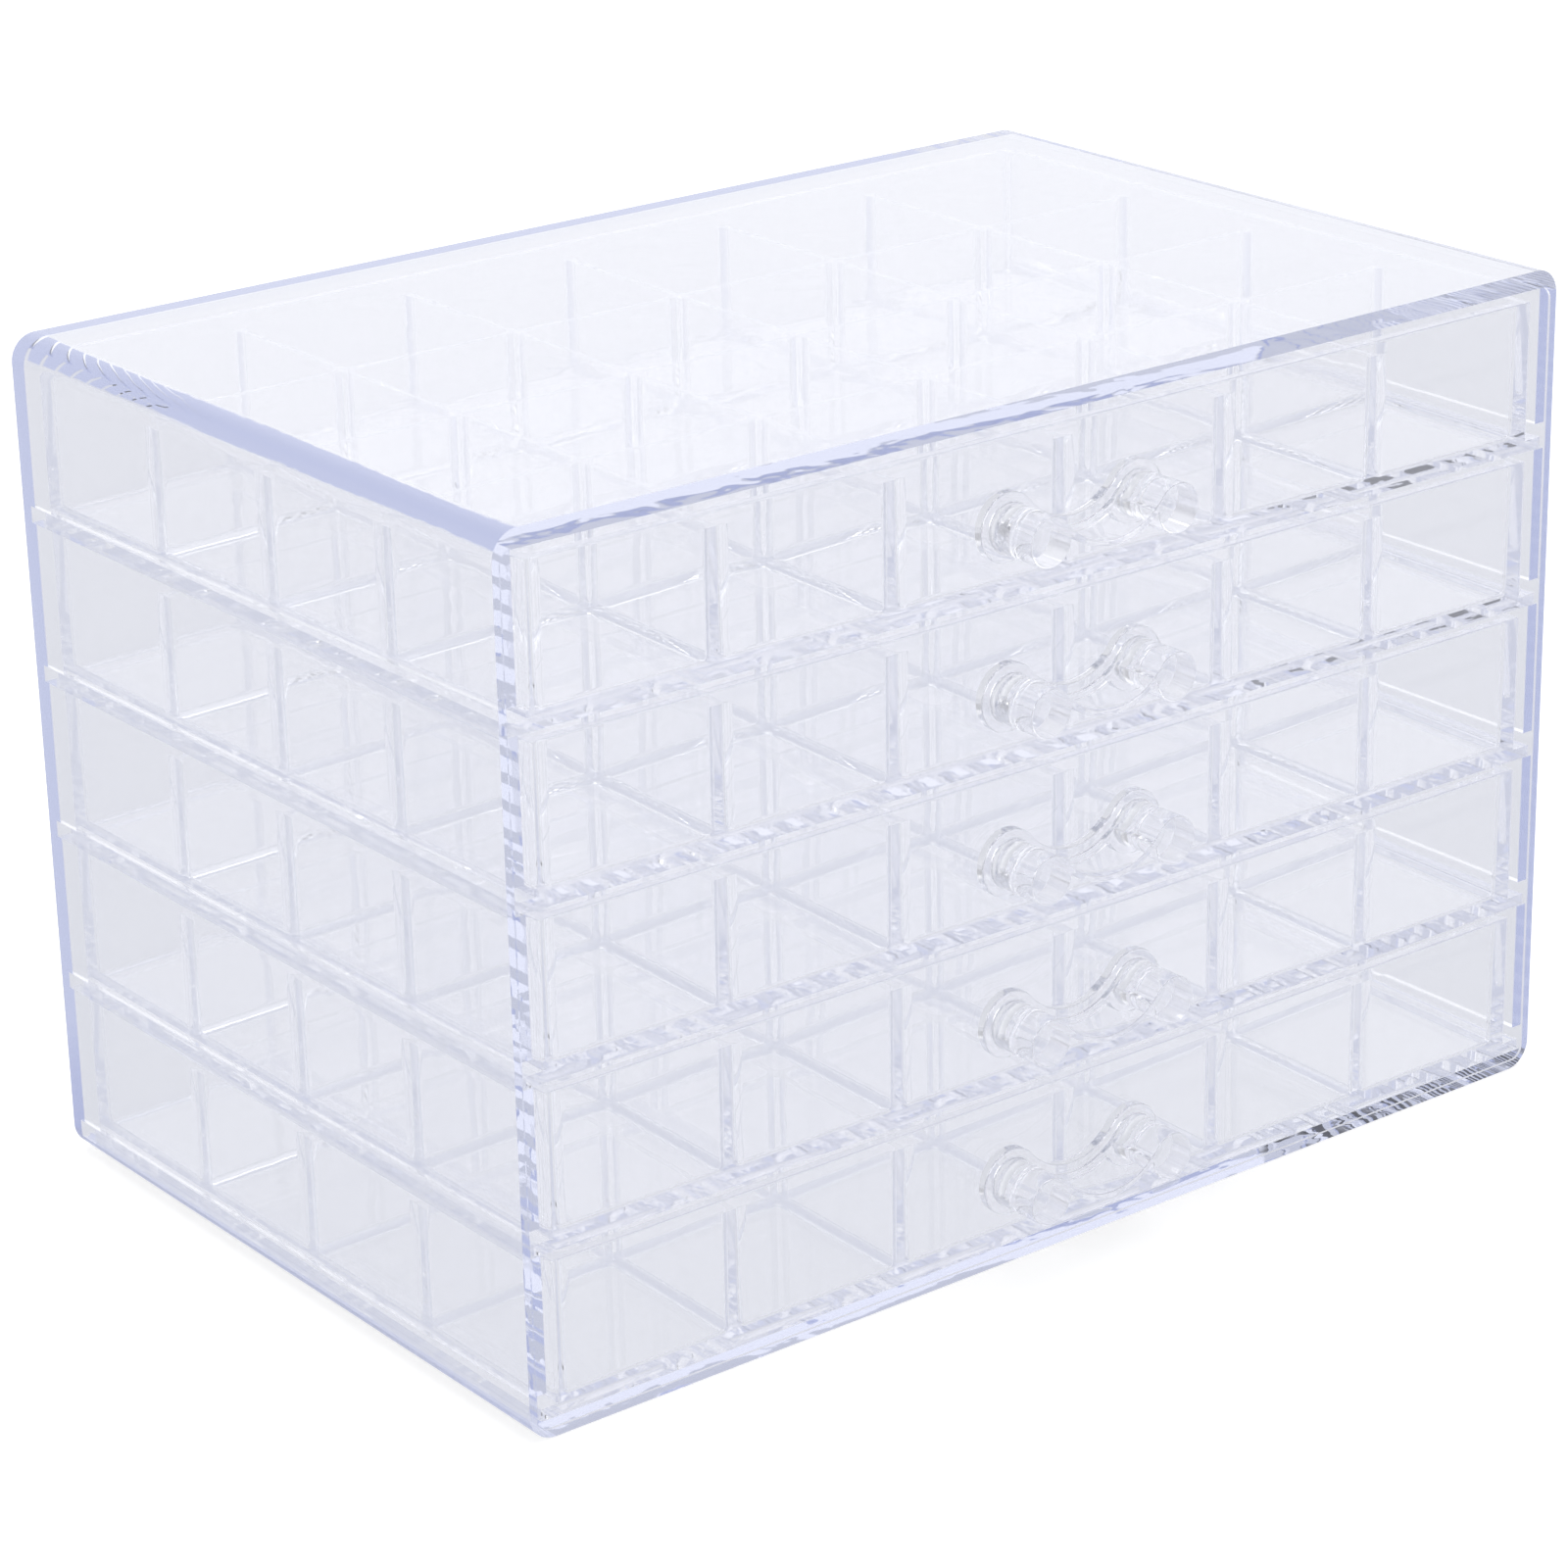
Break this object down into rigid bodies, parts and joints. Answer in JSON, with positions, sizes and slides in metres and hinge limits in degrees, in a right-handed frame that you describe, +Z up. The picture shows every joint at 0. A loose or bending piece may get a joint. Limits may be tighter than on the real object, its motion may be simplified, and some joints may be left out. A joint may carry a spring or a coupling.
{
  "type": "nail polish organizer drawers",
  "caption": "Clear plastic tabletop organizer: a front-opening casing whose shallow sliding trays are divided into small square cells, each pulled by paired knobs on a curved web",
  "frame": {"origin": "centre of the casing's flat underside, on the surface that it stands on", "axes": "+Z up, the drawers open towards -Y, +X along the width"},
  "size_m": [0.235, 0.1621, 0.1585],
  "materials": {
    "casing_clear": "clear polished polystyrene",
    "drawer_clear": "clear polished polystyrene",
    "pull_clear": "clear polished polystyrene"
  },
  "bodies": {
    "casing": {"casing": "casing_clear"},
    "drawer_1": {"drawer_1_tray": "drawer_clear", "drawer_1_pull": "pull_clear"},
    "drawer_2": {"drawer_2_tray": "drawer_clear", "drawer_2_pull": "pull_clear"},
    "drawer_3": {"drawer_3_tray": "drawer_clear", "drawer_3_pull": "pull_clear"},
    "drawer_4": {"drawer_4_tray": "drawer_clear", "drawer_4_pull": "pull_clear"},
    "drawer_5": {"drawer_5_tray": "drawer_clear", "drawer_5_pull": "pull_clear"}
  },
  "joints": [
    {"name": "drawer_1_slide", "type": "slide", "parent": "casing", "child": "drawer_1", "axis": [0, -1, 0], "range_m": [0, 0.13]},
    {"name": "drawer_2_slide", "type": "slide", "parent": "casing", "child": "drawer_2", "axis": [0, -1, 0], "range_m": [0, 0.13]},
    {"name": "drawer_3_slide", "type": "slide", "parent": "casing", "child": "drawer_3", "axis": [0, -1, 0], "range_m": [0, 0.13]},
    {"name": "drawer_4_slide", "type": "slide", "parent": "casing", "child": "drawer_4", "axis": [0, -1, 0], "range_m": [0, 0.13]},
    {"name": "drawer_5_slide", "type": "slide", "parent": "casing", "child": "drawer_5", "axis": [0, -1, 0], "range_m": [0, 0.13]}
  ]
}
